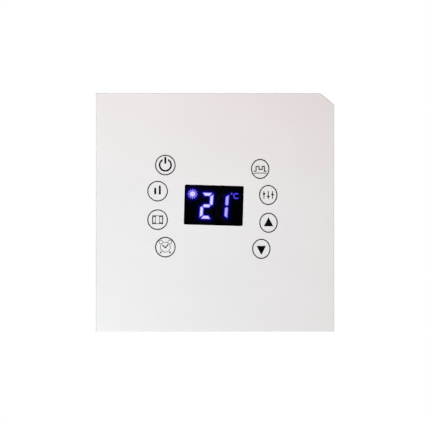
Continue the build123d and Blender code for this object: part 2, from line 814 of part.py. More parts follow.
base_gap = relay_wall + 0.05
yoke_low_y, yoke_high_y = 9.2, 10.4
with BuildPart() as relay_base:
    box(
        relay_low_x + base_gap,
        relay_high_x - base_gap,
        power_back_y + 0.3,
        power_back_y + 1.6,
        relay_low_z + base_gap,
        relay_high_z - base_gap,
    )
    box(relay_x - 3, relay_x + 3, power_back_y + 1.6, yoke_low_y, -7, 7)
    leads(relay_leads, power_back_y + 0.3)
finish(relay_base, "relay_base")

yoke_back_z, yoke_front_z = -8.4, 9.6
core_tip_z = 8.9
with BuildPart() as relay_yoke:
    box(relay_x - yoke_w / 2, relay_x + yoke_w / 2, yoke_low_y, yoke_high_y, yoke_back_z, yoke_front_z)
    box(relay_x - yoke_w / 2, relay_x + yoke_w / 2, yoke_low_y, 20.4, yoke_back_z, yoke_back_z + 1.3)
    with BuildSketch(Plane.XY.offset(yoke_back_z + 1.0)):
        with Locations((relay_x, core_y)):
            Circle(core_r)
    extrude(amount=core_tip_z - yoke_back_z - 1.0)
    with BuildSketch(Plane.XY.offset(core_tip_z - 0.8)):
        with Locations((relay_x, core_y)):
            Circle(core_r + 1.3)
    extrude(amount=0.8)
finish(relay_yoke, "relay_yoke")

coil_low_z, coil_high_z = yoke_back_z + 1.4, core_tip_z - 0.9
with BuildPart() as relay_coil:
    with BuildSketch(Plane.XY.offset(coil_low_z)):
        with Locations((relay_x, core_y)):
            Circle(4.3)
            Circle(core_r + 0.05, mode=Mode.SUBTRACT)
    extrude(amount=coil_high_z - coil_low_z)
    for flange_z in (coil_low_z, coil_high_z - 0.8):
        with BuildSketch(Plane.XY.offset(flange_z)):
            with Locations((relay_x, core_y)):
                RectangleRounded(10.2, 10.2, 1.5)
                Circle(core_r + 0.05, mode=Mode.SUBTRACT)
        extrude(amount=0.8)
finish(relay_coil, "relay_coil")

# The armature rocks on a round ridge over the yoke's edge; its leaf spring carries the moving contact.
with BuildPart() as relay_armature:
    box(relay_x - 4.2, relay_x + 4.2, 9.6, 20.4, pivot_z, pivot_z + 1.2)
    with Locations((relay_x, pivot_y, pivot_z)):
        Cylinder(pivot_r, 8.4, rotation=(0, 90, 0))
    box(relay_x - 2.5, relay_x + 2.5, 16.4, 16.7, pivot_z + 1.2, 16.6)
    box(relay_x - 2.5, relay_x + 2.5, 12.4, 16.7, pivot_z + 1.2, pivot_z + 1.5)
    with BuildSketch(front_plane(-16.7)):
        with Locations((relay_x, 15.2)):
            Circle(1.3)
    extrude(amount=-0.7)
finish(relay_armature, "relay_armature")

with BuildPart() as relay_contacts:
    box(relay_x - 2.2, relay_x + 2.2, 19.2, 19.8, 12.6, 18.2)
    box(relay_x - 2.2, relay_x + 2.2, power_back_y + 1.6, 19.8, 17.6, 18.2)
    with BuildSketch(front_plane(-18.0)):
        with Locations((relay_x, 15.2)):
            Circle(1.3)
    extrude(amount=-1.2)
finish(relay_contacts, "relay_contacts")

# ================================================================ wall base: screw terminals
cage_room_low_y = cage_low_y - 0.2
cage_room_high_y = cage_high_y + cage_travel + 0.2
block_half = pole_count * pole_pitch / 2

with BuildPart() as terminal_block:
    box(-block_half, block_half, power_back_y, block_back_y, block_bottom_z, block_top_z)
    room_half = cage_w / 2 + cage_room
    room_y = (cage_room_low_y, cage_room_high_y)
    room_z = (cage_bottom_z - cage_room, cage_top_z + cage_room)
    slot_half = bar_w / 2 + cage_room
    slot_y = (bar_y - 0.1, bar_y + bar_thick + 0.1)
    leg_slot_z = (bar_leg_z - 0.5, bar_leg_z + 0.5)
    for x in pole_x:
        box(x - room_half, x + room_half, *room_y, *room_z, mode=Mode.SUBTRACT)
        # the slot for the contact bar and its leg
        box(x - slot_half, x + slot_half, *slot_y, -22.4, leg_slot_z[1], mode=Mode.SUBTRACT)
        box(x - slot_half, x + slot_half, power_back_y, slot_y[1], *leg_slot_z, mode=Mode.SUBTRACT)
        # the wire entry
        entry_x = (x - entry_w / 2, x + entry_w / 2)
        box(*entry_x, entry_low_y, entry_high_y, block_bottom_z, cage_bottom_z, mode=Mode.SUBTRACT)
    with BuildSketch(front_plane(-head_seat_y)):
        with Locations(screw_places):
            Circle(head_bore_r)
    extrude(amount=-(block_back_y - head_seat_y), mode=Mode.SUBTRACT)
    with BuildSketch(front_plane(-cage_room_high_y)):
        with Locations(screw_places):
            Circle(screw_r + 0.2)
    extrude(amount=-(head_seat_y - cage_room_high_y), mode=Mode.SUBTRACT)
finish(terminal_block, "terminal_block")

with BuildPart() as contact_bars:
    for x in pole_x:
        box(x - bar_w / 2, x + bar_w / 2, bar_y, bar_y + bar_thick, -22.2, bar_leg_z + bar_thick / 2)
        leg_z = (bar_leg_z - bar_thick / 2, bar_leg_z + bar_thick / 2)
        box(x - bar_w / 2, x + bar_w / 2, lead_tip_y, bar_y + bar_thick, *leg_z)
finish(contact_bars, "contact_bars")

for number, x in enumerate(pole_x, start=1):
    with BuildPart() as terminal_screw:
        with BuildSketch(front_plane(-screw_tip_y)):
            with Locations((x, screw_z)):
                Circle(screw_r)
        extrude(amount=-(head_seat_y - screw_tip_y))
        chamfer(terminal_screw.faces().sort_by(Axis.Y)[0].edges(), 0.3)
        with BuildSketch(front_plane(-head_seat_y - 0.05)):
            with Locations((x, screw_z)):
                Circle(head_r)
        extrude(amount=-head_thick)
        chamfer(terminal_screw.faces().sort_by(Axis.Y)[-1].edges(), 0.25)
        with BuildSketch(front_plane(-head_seat_y - 0.05)):
            with Locations((x, screw_z)):
                Circle(screw_r)
        extrude(amount=0.1)
        with BuildSketch(front_plane(-head_seat_y - 0.05 - head_thick)):
            with Locations((x, screw_z)):
                Rectangle(4.9, 0.8)
                Rectangle(0.8, 3.0)
        extrude(amount=1.0, mode=Mode.SUBTRACT)
    finish(terminal_screw, f"terminal_screw_{number}")

    with BuildPart() as terminal_clamp:
        half = cage_w / 2
        box(x - half, x + half, cage_low_y, cage_high_y, cage_bottom_z, cage_top_z)
        fillet(terminal_clamp.edges().filter_by(Axis.Z), 0.5)
        window = half - cage_side_wall
        window_y = (cage_low_y + cage_low_wall, cage_high_y - cage_high_wall)
        box(x - window, x + window, *window_y, cage_bottom_z, cage_top_z, mode=Mode.SUBTRACT)
        with BuildSketch(front_plane(-cage_high_y)):
            with Locations((x, screw_z)):
                Circle(screw_r + 0.06)
        extrude(amount=cage_high_wall, mode=Mode.SUBTRACT)
    finish(terminal_clamp, f"terminal_clamp_{number}")
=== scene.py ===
"""Wall thermostat: materials, display light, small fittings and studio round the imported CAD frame. Metres."""

import math
import random

import bmesh
import bpy
import numpy as np
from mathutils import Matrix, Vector
from mathutils.bvhtree import BVHTree

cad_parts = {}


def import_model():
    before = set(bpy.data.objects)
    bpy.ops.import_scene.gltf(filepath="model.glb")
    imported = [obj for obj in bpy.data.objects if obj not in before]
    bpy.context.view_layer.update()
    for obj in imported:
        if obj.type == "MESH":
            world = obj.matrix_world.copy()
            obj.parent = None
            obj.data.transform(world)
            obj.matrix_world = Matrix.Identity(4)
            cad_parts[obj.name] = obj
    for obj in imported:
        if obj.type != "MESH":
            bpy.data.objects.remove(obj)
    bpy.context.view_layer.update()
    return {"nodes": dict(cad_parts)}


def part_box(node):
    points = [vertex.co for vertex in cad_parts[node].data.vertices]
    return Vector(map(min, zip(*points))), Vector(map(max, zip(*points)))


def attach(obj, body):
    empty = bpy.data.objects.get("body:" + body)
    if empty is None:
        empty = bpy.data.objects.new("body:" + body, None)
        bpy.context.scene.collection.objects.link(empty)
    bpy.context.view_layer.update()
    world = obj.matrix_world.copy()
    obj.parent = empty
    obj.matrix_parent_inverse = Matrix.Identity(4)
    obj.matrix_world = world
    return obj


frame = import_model()
scene = bpy.context.scene
cad = frame["nodes"]
MM = 0.001


# ---------------------------------------------------------------- node helpers
class Mat:
    """A Principled material with short calls for the nodes that feed it."""

    def __init__(self, name, color, roughness, **sockets):
        self.material = bpy.data.materials.new(name)
        self.material.use_nodes = True
        self.tree = self.material.node_tree
        self.shader = self.tree.nodes["Principled BSDF"]
        self.shader.inputs["Base Color"].default_value = (*color, 1)
        self.shader.inputs["Roughness"].default_value = roughness
        for socket, value in sockets.items():
            self.shader.inputs[socket.replace("_", " ")].default_value = value
        self.coords = self.tree.nodes.new("ShaderNodeTexCoord").outputs["Object"]

    def link(self, source, target):
        self.tree.links.new(source, target)

    def node(self, kind, inputs=None, **settings):
        made = self.tree.nodes.new(kind)
        for key, value in settings.items():
            setattr(made, key, value)
        for key, value in (inputs or {}).items():
            socket = made.inputs[key]
            if isinstance(value, bpy.types.NodeSocket):
                self.link(value, socket)
            else:
                socket.default_value = value
        return made

    def scaled(self, scale):
        """Object coordinates, scaled along each axis."""
        return self.node("ShaderNodeMapping", {"Vector": self.coords, "Scale": scale}).outputs["Vector"]

    def noise(self, scale, detail=3, rough=0.55, vector=None):
        inputs = {"Vector": vector or self.coords, "Scale": scale, "Detail": detail, "Roughness": rough}
        return self.node("ShaderNodeTexNoise", inputs).outputs["Fac"]

    def cells(self, scale, **settings):
        """A random colour for each cell."""
        inputs = {"Vector": self.coords, "Scale": scale}
        return self.node("ShaderNodeTexVoronoi", inputs, **settings).outputs["Color"]

    def math(self, operation, a, b=0.0, c=0.0):
        return self.node("ShaderNodeMath", {0: a, 1: b, 2: c}, operation=operation).outputs[0]

    def ramp(self, fac, *stops):
        """Colour ramp of two stops, each a position and a colour."""
        made = self.node("ShaderNodeValToRGB", {"Fac": fac})
        elements = made.color_ramp.elements
        for element, (position, color) in zip(elements, stops):
            element.position = position
            element.color = (*color, 1)
        return made.outputs["Color"]

    def map(self, fac, low, high, from_low=0.0, from_high=1.0):
        inputs = {"Value": fac, "From Min": from_low, "From Max": from_high, "To Min": low, "To Max": high}
        return self.node("ShaderNodeMapRange", inputs).outputs["Result"]

    def mix(self, fac, a, b):
        """A colour that goes from a to b."""
        made = self.node("ShaderNodeMix", data_type="RGBA")
        for index, value in ((0, fac), (6, a), (7, b)):
            socket = made.inputs[index]
            if isinstance(value, bpy.types.NodeSocket):
                self.link(value, socket)
            else:
                socket.default_value = value if index == 0 else (*value, 1)
        return made.outputs[2]

    def blend(self, fac, a, b):
        """A number that goes from a to b."""
        return self.node("ShaderNodeMix", {0: fac, 2: a, 3: b}, data_type="FLOAT").outputs[0]

    def over(self, mask, color, roughness, metallic=1.0):
        """Gives what the mask covers another finish."""
        sockets = self.shader.inputs
        under = {}
        for name in ("Base Color", "Roughness", "Metallic"):
            links = sockets[name].links
            under[name] = links[0].from_socket if links else sockets[name].default_value
        if not isinstance(under["Base Color"], bpy.types.NodeSocket):
            under["Base Color"] = tuple(under["Base Color"])[:3]
        self.link(self.mix(mask, under["Base Color"], color), sockets["Base Color"])
        self.link(self.blend(mask, under["Roughness"], roughness), sockets["Roughness"])
        self.link(self.blend(mask, under["Metallic"], metallic), sockets["Metallic"])
        return self

    def xyz(self):
        return self.node("ShaderNodeSeparateXYZ", {"Vector": self.coords}).outputs

    def feed(self, **sockets):
        for socket, source in sockets.items():
            self.link(source, self.shader.inputs[socket.replace("_", " ")])

    def bump(self, height, distance):
        """Adds a bump from a height of 0 to 1, with the distance in metres."""
        made = self.node("ShaderNodeBump", {"Height": height, "Distance": distance, "Strength": 1.0})
        self.link(made.outputs["Normal"], self.shader.inputs["Normal"])


def plastic(name, color, roughness, grain=3500, depth=0.00002, spread=0.04, fade=0.03, **sockets):
    """Moulded plastic: slight colour drift, a fine spark-eroded grain and an uneven sheen."""
    mat = Mat(name, color, roughness, **sockets)
    drift = mat.noise(60, 2)
    low = tuple(c * (1 - fade) for c in color)
    high = tuple(min(1, c * (1 + fade)) for c in color)
    mat.feed(Base_Color=mat.ramp(drift, (0.3, low), (0.7, high)))
    mat.feed(Roughness=mat.map(mat.noise(400, 3), roughness - spread, roughness + spread))
    mat.bump(mat.noise(grain, 2, 0.6), depth)
    return mat


def metal(name, color, roughness, brush=None, spangle=0.0, depth=0.000006, **sockets):
    """Metal with a fine grain: brushed along one axis, or the cloudy look of plating."""
    mat = Mat(name, color, roughness, Metallic=1.0, **sockets)
    if brush:
        scale = [1, 1, 1]
        scale["XYZ".index(brush)] = 0.03
        grain = mat.noise(9000, 2, 0.7, vector=mat.scaled(scale))
    else:
        grain = mat.noise(5000, 3, 0.7)
    cloud = mat.noise(350, 4, 0.65)
    if spangle:
        crystals = mat.math("MULTIPLY", mat.cells(700), spangle)
        cloud = mat.math("ADD", mat.math("MULTIPLY", cloud, 1 - spangle), crystals)
    dark = tuple(c * 0.82 for c in color)
    bright = tuple(min(1, c * 1.12) for c in color)
    mat.feed(Base_Color=mat.ramp(cloud, (0.25, dark), (0.75, bright)))
    wear = mat.math("ADD", mat.math("MULTIPLY", grain, 0.5), mat.math("MULTIPLY", cloud, 0.5))
    mat.feed(Roughness=mat.map(wear, roughness - 0.08, roughness + 0.1))
    mat.bump(grain, depth)
    return mat


def paint(mat, *names):
    """Gives these CAD nodes or pieces this material on every slot."""
    for name in names:
        ob = cad.get(name) or bpy.data.objects[name]
        if not ob.data.materials:
            ob.data.materials.append(mat.material)
        for i in range(len(ob.data.materials)):
            ob.data.materials[i] = mat.material


# ---------------------------------------------------------------- front materials
panel = Mat("panel_white", (0.86, 0.855, 0.85), 0.16, Coat_Weight=0.4, Coat_Roughness=0.06)
panel_x, _, panel_z = panel.xyz()
PANEL_HALF = 43 * MM
# painted light: a faint rose light cast painted into the colour, growing towards the top and the right
rightward = panel.map(panel_x, 0, 0.4, -PANEL_HALF, PANEL_HALF)
painted_rose_light = panel.math("ADD", rightward, panel.map(panel_z, 0, 0.65, 0, PANEL_HALF))
white = panel.ramp(panel.noise(35, 2), (0.35, (0.852, 0.852, 0.852)), (0.65, (0.872, 0.872, 0.872)))
rose_lit_white = panel.ramp(panel.noise(35, 2), (0.35, (0.852, 0.778, 0.762)), (0.65, (0.872, 0.796, 0.782)))
# random tone of the white, with the painted rose light mixed in
tone_and_painted_light = panel.mix(painted_rose_light, white, rose_lit_white)
# painted shade: the outermost half millimetre is painted greyer than the face, most of all at the foot and the
# left
reach = panel.math("MAXIMUM", panel.math("ABSOLUTE", panel_x), panel.math("ABSOLUTE", panel_z))
rim = panel.map(reach, 0, 1, PANEL_HALF - 0.5 * MM, PANEL_HALF - 0.2 * MM)
lowest = panel.math("MINIMUM", panel_x, panel_z)
foot = panel.map(lowest, 1, 0, 0.2 * MM - PANEL_HALF, 0.6 * MM - PANEL_HALF)
rim_painted_shade = panel.mix(foot, (0.85, 0.835, 0.83), (0.72, 0.72, 0.72))
# the face takes the painted rose light and the rim the painted shade
panel.feed(Base_Color=panel.mix(rim, tone_and_painted_light, rim_painted_shade))
panel.feed(Roughness=panel.map(panel.noise(250, 4), 0.12, 0.22))
panel.bump(panel.noise(420, 2), 0.000004)
paint(panel, "front_panel")

LENS_ALPHA = 0.42
lens = Mat("lens_smoked", (0.0008, 0.0008, 0.001), 0.06, Alpha=LENS_ALPHA, Specular_IOR_Level=0.1)
lens_tint = lens.ramp(lens.noise(120, 2), (0.3, (0.0006, 0.0006, 0.0008)), (0.7, (0.0011, 0.0011, 0.0014)))
lens.feed(Base_Color=lens_tint, Roughness=lens.map(lens.noise(500, 3), 0.04, 0.1))
lens.bump(lens.noise(300, 2), 0.000001)
paint(lens, "display_lens")


def printed_ink(name, color, roughness):
    """Screen-printed ink: almost no shine, a dense body and a slightly broken surface."""
    mat = Mat(name, color, roughness, Specular_IOR_Level=0.03)
    thin = tuple(c * 1.8 + 0.001 for c in color)
    mat.feed(Base_Color=mat.ramp(mat.noise(3000, 3), (0.35, color), (0.75, thin)))
    mat.feed(Roughness=mat.map(mat.noise(2500, 2), roughness - 0.08, roughness + 0.1))
    mat.bump(mat.noise(5000, 2), 0.000005)
    return mat


ink = printed_ink("ink_black", (0.0012, 0.0012, 0.0014), 0.5)
paint(ink, "power_symbol", "heat_level_symbol", "up_arrow", "down_arrow")
line_ink = printed_ink("ink_grey", (0.002, 0.002, 0.0025), 0.52)
paint(line_ink, "key_rings", "open_window_symbol", "timer_symbol", "program_symbol", "mode_symbol")

paint(plastic("frame_white", (0.8, 0.795, 0.785), 0.48, depth=0.000014), "front_frame")

# ---------------------------------------------------------------- finishes of the inner parts
TIN = (0.72, 0.72, 0.7)
LEADS_FROM = 6.85 * MM  # just behind the power board, so that only leads lie in front of it


def circuit_board(name, mask, track):
    """Solder mask over copper: blocks of parallel tracks, some upright and some across, on a fine weave."""
    mat = Mat(name, mask, 0.34, Coat_Weight=0.3, Coat_Roughness=0.15)
    x, y, z = mat.xyz()
    block = mat.cells(150, distance="CHEBYCHEV")
    chance = mat.node("ShaderNodeSeparateColor", {"Color": block}).outputs
    upright = mat.math("GREATER_THAN", chance["Red"], 0.5)
    where = mat.blend(upright, z, x)
    track_pitch, track_half = 1.0 * MM, 0.17 * MM
    line = mat.math("LESS_THAN", mat.math("PINGPONG", where, track_pitch / 2), track_half)
    laid = mat.math("MULTIPLY", line, mat.math("GREATER_THAN", chance["Green"], 0.3))
    weave = mat.noise(2600, 2)
    mat.feed(Base_Color=mat.mix(laid, mask, track), Roughness=mat.map(weave, 0.26, 0.42))
    mat.bump(mat.math("MULTIPLY_ADD", weave, 0.25, laid), 0.00003)
    return mat


def leaded(mat, y):
    """The same part with tinned leads wherever it lies before y."""
    return mat.over(mat.math("LESS_THAN", mat.xyz()[1], y), TIN, 0.3)


def chip_finish():
    """Black epoxy whose feet, outside the square body, are tinned."""
    mat = plastic("chip_black", (0.018, 0.018, 0.019), 0.52, grain=6000, depth=0.00001)
    low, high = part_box("touch_controller")
    middle, half = (low + high) / 2, (high.x - low.x) / 2 - 0.88 * MM
    x, y, z = mat.xyz()
    across = mat.math("ABSOLUTE", mat.math("SUBTRACT", x, middle.x))
    up = mat.math("ABSOLUTE", mat.math("SUBTRACT", z, middle.z))
    return mat.over(mat.math("GREATER_THAN", mat.math("MAXIMUM", across, up), half), TIN, 0.3)


def can_finish():
    """A dark sleeve with a pale stripe down one side and the bare top of the can."""
    mat = plastic("can_sleeve", (0.012, 0.014, 0.03), 0.32, depth=0.000006)
    low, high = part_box("capacitor")
    x, y, z = mat.xyz()
    mat.over(mat.math("GREATER_THAN", x, high.x - 0.9 * MM), (0.45, 0.46, 0.47), 0.35, 0.0)
    mat.over(mat.math("GREATER_THAN", y, high.y - 0.25 * MM), (0.7, 0.7, 0.71), 0.28)
    return leaded(mat, 6.8 * MM)


def coil_finish():
    """Enamelled copper wire laid turn by turn between two pale flanges, with painted shade in the grooves
    between turns.
    """
    mat = Mat("coil_copper", (0.6, 0.2, 0.07), 0.3, Metallic=1.0)
    low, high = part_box("relay_coil")
    z = mat.xyz()[2]
    wire_r = 0.09 * MM
    turn = mat.math("MULTIPLY", mat.math("PINGPONG", z, wire_r), 1 / wire_r)
    # painted shade and highlight: the colour darkens into the grooves between turns and lightens on their
    # crowns
    mat.feed(Base_Color=mat.ramp(turn, (0.0, (0.3, 0.09, 0.03)), (0.6, (0.66, 0.25, 0.09))))
    mat.feed(Roughness=mat.map(mat.noise(900), 0.24, 0.4))
    mat.bump(turn, 0.00007)
    flange = 0.81 * MM
    upper = mat.math("GREATER_THAN", z, high.z - flange)
    lower = mat.math("LESS_THAN", z, low.z + flange)
    return mat.over(mat.math("MAXIMUM", upper, lower), (0.72, 0.7, 0.64), 0.5, 0.0)


def cell_finish():
    """Stamped steel cell: rings from the press and fine scratches."""
    mat = metal("cell_steel", (0.66, 0.65, 0.62), 0.26)
    low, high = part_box("backup_battery")
    centre = (low + high) / 2
    x, y, z = mat.xyz()
    across, up = mat.math("SUBTRACT", x, centre.x), mat.math("SUBTRACT", z, centre.z)
    reach = mat.math("SQRT", mat.math("ADD", mat.math("POWER", across, 2.0), mat.math("POWER", up, 2.0)))
    mat.bump(mat.math("PINGPONG", mat.math("MULTIPLY", reach, 1600.0), 1.0), 0.000008)
    return mat


board = circuit_board("board_green", (0.008, 0.085, 0.035), (0.02, 0.15, 0.06))
zinc = metal("screw_zinc", (0.66, 0.67, 0.68), 0.27)
tin = metal("tinned_pins", TIN, 0.3)
paint(board, "control_board", "power_board")
paint(zinc, "control_board_screws", "cover_screws", *(f"terminal_screw_{i}" for i in range(1, 7)))
paint(tin, "display_pins")
paint(metal("spring_wire", (0.6, 0.59, 0.57), 0.24), "touch_springs")
paint(chip_finish(), "touch_controller")
paint(plastic("buzzer_black", (0.016, 0.016, 0.017), 0.42), "buzzer")
paint(plastic("holder_ivory", (0.68, 0.64, 0.52), 0.48), "battery_holder")
paint(cell_finish(), "backup_battery")
bead = plastic("sensor_bead", (0.03, 0.02, 0.014), 0.16, grain=1200, spread=0.05, Coat_Weight=0.6)
paint(leaded(bead, -6.2 * MM), "room_sensor")
paint(plastic("header_black", (0.015, 0.015, 0.016), 0.5), "pin_header")
paint(metal("gold_pins", (0.86, 0.6, 0.24), 0.22), "header_pins")
paint(metal("zinc_steel", (0.55, 0.57, 0.59), 0.36, spangle=0.45), "mounting_plate")
paint(metal("spring_steel", (0.42, 0.42, 0.43), 0.28, brush="X"), "retaining_clips")
paint(plastic("box_white", (0.76, 0.755, 0.73), 0.5, grain=2400, depth=0.00003), "rear_housing")
paint(plastic("cover_white", (0.78, 0.775, 0.755), 0.5, grain=2400, depth=0.00003), "base_cover")
socket = plastic("socket_black", (0.014, 0.014, 0.015), 0.46)
paint(socket.over(socket.math("GREATER_THAN", socket.xyz()[1], 4.89 * MM), TIN, 0.3), "board_socket")
potting = plastic("module_black", (0.014, 0.014, 0.016), 0.4, grain=2600, depth=0.000025)
paint(leaded(potting, LEADS_FROM), "power_module")
paint(leaded(plastic("fuse_black", (0.02, 0.019, 0.018), 0.36), LEADS_FROM), "fuse")
paint(can_finish(), "capacitor")
lacquer = plastic("varistor_blue", (0.015, 0.07, 0.32), 0.3, grain=900, depth=0.00004, Coat_Weight=0.4)
paint(leaded(lacquer, 7.3 * MM), "varistor")
paint(plastic("relay_case_blue", (0.02, 0.1, 0.36), 0.22, depth=0.000008, Alpha=0.5), "relay_case")
paint(leaded(plastic("relay_base_black", (0.02, 0.02, 0.021), 0.45), LEADS_FROM), "relay_base")
paint(metal("relay_iron", (0.5, 0.5, 0.5), 0.34), "relay_yoke", "relay_armature")
paint(coil_finish(), "relay_coil")
paint(metal("contact_brass", (0.72, 0.5, 0.22), 0.28), "relay_contacts")
paint(metal("bar_tinned", (0.7, 0.69, 0.66), 0.34), "contact_bars")
paint(plastic("terminal_green", (0.012, 0.2, 0.065), 0.42), "terminal_block")
paint(metal("clamp_zinc", (0.62, 0.63, 0.63), 0.33, brush="Z"), *(f"terminal_clamp_{i}" for i in range(1, 7)))


# ---------------------------------------------------------------- small pieces
class Shape:
    """Collects the faces of one small piece. Places are (x, z); y runs into the wall."""

    def __init__(self):
        self.verts, self.faces = [], []

    def add(self, verts, faces):
        start = len(self.verts)
        self.verts += [tuple(v) for v in verts]
        self.faces += [tuple(i + start for i in face) for face in faces]

    def prism(self, outline, y0, y1):
        """A closed outline of (x, z) points between two depths."""
        n = len(outline)
        verts = [(x, y, z) for y in (y0, y1) for x, z in outline]
        sides = [(i, (i + 1) % n, n + (i + 1) % n, n + i) for i in range(n)]
        self.add(verts, sides + [tuple(reversed(range(n))), tuple(range(n, 2 * n))])

    def box(self, x0, x1, y0, y1, z0, z1):
        self.prism([(x0, z0), (x1, z0), (x1, z1), (x0, z1)], y0, y1)

    def disc(self, x, z, radius, y0, y1, sides=24):
        turn = 2 * math.pi / sides
        outline = [(x + radius * math.cos(i * turn), z + radius * math.sin(i * turn)) for i in range(sides)]
        self.prism(outline, y0, y1)

    def stroke(self, start, end, width, y0, y1):
        """A straight line with round ends."""
        (ax, az), (bx, bz) = start, end
        lean = math.atan2(bz - az, bx - ax)
        outline = []
        for (cx, cz), first in (((ax, az), math.pi / 2), ((bx, bz), -math.pi / 2)):
            for i in range(7):
                a = lean + first + i * math.pi / 6
                outline.append((cx + width / 2 * math.cos(a), cz + width / 2 * math.sin(a)))
        self.prism(outline, y0, y1)

    def path(self, points, width, y0, y1):
        for start, end in zip(points, points[1:]):
            self.stroke(start, end, width, y0, y1)

    def lathe(self, x, z, profile, sides=18, stretch=1.0):
        """A turned shape about a line parallel to Y: the profile is (radius, y) from its foot to its tip."""
        rings = []
        for radius, y in profile:
            for i in range(sides):
                a = 2 * math.pi * i / sides
                rings.append((x + stretch * radius * math.cos(a), y, z + radius * math.sin(a)))
        faces = []
        for j in range(len(profile) - 1):
            for i in range(sides):
                k = (i + 1) % sides
                faces.append((j * sides + i, j * sides + k, (j + 1) * sides + k, (j + 1) * sides + i))
        faces += [tuple(range(sides)), tuple(range((len(profile) - 1) * sides, len(profile) * sides))]
        self.add(rings, faces)

    def ring(self, x, z, inner, outer, y0, y1, sides=32):
        loop = [(inner, y0), (outer, y0), (outer, y1), (inner, y1)]
        verts = []
        for radius, y in loop:
            for i in range(sides):
                a = 2 * math.pi * i / sides
                verts.append((x + radius * math.cos(a), y, z + radius * math.sin(a)))
        faces = []
        for j in range(4):
            for i in range(sides):
                k, n = (i + 1) % sides, (j + 1) % 4
                faces.append((j * sides + i, j * sides + k, n * sides + k, n * sides + i))
        self.add(verts, faces)

    def helix(self, x, z, radius, height, y0, y1, pitch, sides=20):
        """A screw thread's ridge on a shaft of this radius."""
        count = round((y1 - y0) / pitch * sides)
        verts = []
        for i in range(count + 1):
            a, y = 2 * math.pi * i / sides, y0 + pitch * i / sides
            for reach, shift in ((0, -0.35), (height, 0), (0, 0.35)):
                r = radius + reach
                verts.append((x + r * math.cos(a), y + shift * pitch, z + r * math.sin(a)))
        faces = []
        for i in range(count):
            k = 3 * i
            faces += [(k, k + 1, k + 4, k + 3), (k + 1, k + 2, k + 5, k + 4)]
        self.add(verts, faces)

    def piece(self, name, mat, body, slot_name, smooth=True):
        mesh = bpy.data.meshes.new(name)
        mesh.from_pydata(self.verts, [], self.faces)
        shell = bmesh.new()
        shell.from_mesh(mesh)
        bmesh.ops.recalc_face_normals(shell, faces=shell.faces)
        shell.to_mesh(mesh)
        shell.free()
        if smooth:
            mesh.polygons.foreach_set("use_smooth", [True] * len(mesh.polygons))
            mesh.set_sharp_from_angle(angle=math.radians(35))
        mesh.materials.append(mat.material)
        ob = bpy.data.objects.new(name, mesh)
        scene.collection.objects.link(ob)
        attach(ob, body)


def tips(node, y, span):
    """The centre and half sizes of each lead of a node at depth y; its corners there lie within the span."""
    groups = []
    for v in cad[node].data.vertices:
        if abs(v.co.y - y) < 0.02 * MM:
            for group in groups:
                if (group[0] - v.co).length < span:
                    group.append(v.co)
                    break
            else:
                groups.append([v.co])
    found = []
    for group in groups:
        xs, zs = [c.x for c in group], [c.z for c in group]
        middle = ((min(xs) + max(xs)) / 2, (min(zs) + max(zs)) / 2)
        found.append((middle, (max(xs) - min(xs)) / 2, (max(zs) - min(zs)) / 2))
    return found


def solder_joints(name, nodes, tip_y, board_y, body, span=1.2 * MM):
    """A fillet of solder climbing each lead from the board towards its tip."""
    shape = Shape()
    step = (tip_y - board_y) / abs(tip_y - board_y)
    for node in nodes:
        for (x, z), half_x, half_z in tips(node, tip_y, span):
            r = half_z + 0.02 * MM
            profile = [(r + 0.45 * MM, board_y), (r + 0.2 * MM, board_y + step * 0.14 * MM)]
            profile += [(r + 0.07 * MM, board_y + step * 0.34 * MM), (r, board_y + step * 0.62 * MM)]
            shape.lathe(x, z, profile, stretch=max(1.0, half_x / half_z))
    shape.piece(name, tin, body, "tinned_pins")


def small_parts(prefix, board_node, side, count, seed, body):
    """Chip resistors and capacitors wherever the board's face is free, clear of every other part."""
    rng = random.Random(seed)
    low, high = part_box(board_node)
    y = high.y if side > 0 else low.y
    trees = {}
    for node, ob in cad.items():
        near_low, near_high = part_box(node)
        if near_low.y < y + 3 * MM and near_high.y > y - 3 * MM:
            verts = [v.co for v in ob.data.vertices]
            trees[node] = BVHTree.FromPolygons(verts, [p.vertices for p in ob.data.polygons])
    face = trees.pop(board_node)
    black, pale, ends, placed = Shape(), Shape(), Shape(), []
    grid, edge, cap = 0.635 * MM, 2.5 * MM, 0.3
    for _ in range(4000):
        if len(placed) == count:
            break
        x = round(rng.uniform(low.x + edge, high.x - edge) / grid) * grid
        z = round(rng.uniform(low.z + edge, high.z - edge) / grid) * grid
        corners = [Vector((x + dx * MM, y, z + dz * MM)) for dx in (-1.3, 0, 1.3) for dz in (-1.3, 0, 1.3)]
        if any(face.find_nearest(c, 0.02 * MM)[0] is None for c in corners):
            continue
        if any(t.find_nearest(Vector((x, y + side * 0.5 * MM, z)), 2.0 * MM)[0] for t in trees.values()):
            continue
        if any(math.hypot(x - px, z - pz) < 3.0 * MM for px, pz in placed):
            continue
        placed.append((x, z))
        resistor, flat = rng.random() < 0.6, rng.random() < 0.5
        length, width, height = (1.0, 0.62, 0.5) if resistor else (0.8, 0.42, 0.75)
        y0, y1 = sorted((y, y + side * height * MM))
        middle = black if resistor else pale
        for part, start, end in (
            (ends, -length, cap - length),
            (ends, length - cap, length),
            (middle, cap - length, length - cap),
        ):
            half = (width + (0.02 if part is ends else 0.0)) * MM
            if flat:
                part.box(x + start * MM, x + end * MM, y0, y1, z - half, z + half)
            else:
                part.box(x - half, x + half, y0, y1, z + start * MM, z + end * MM)
    black.piece(f"{prefix}_resistors", small_black, body, "chip_black", smooth=False)
    pale.piece(f"{prefix}_capacitors", small_pale, body, "holder_ivory", smooth=False)
    ends.piece(f"{prefix}_end_caps", tin, body, "tinned_pins", smooth=False)


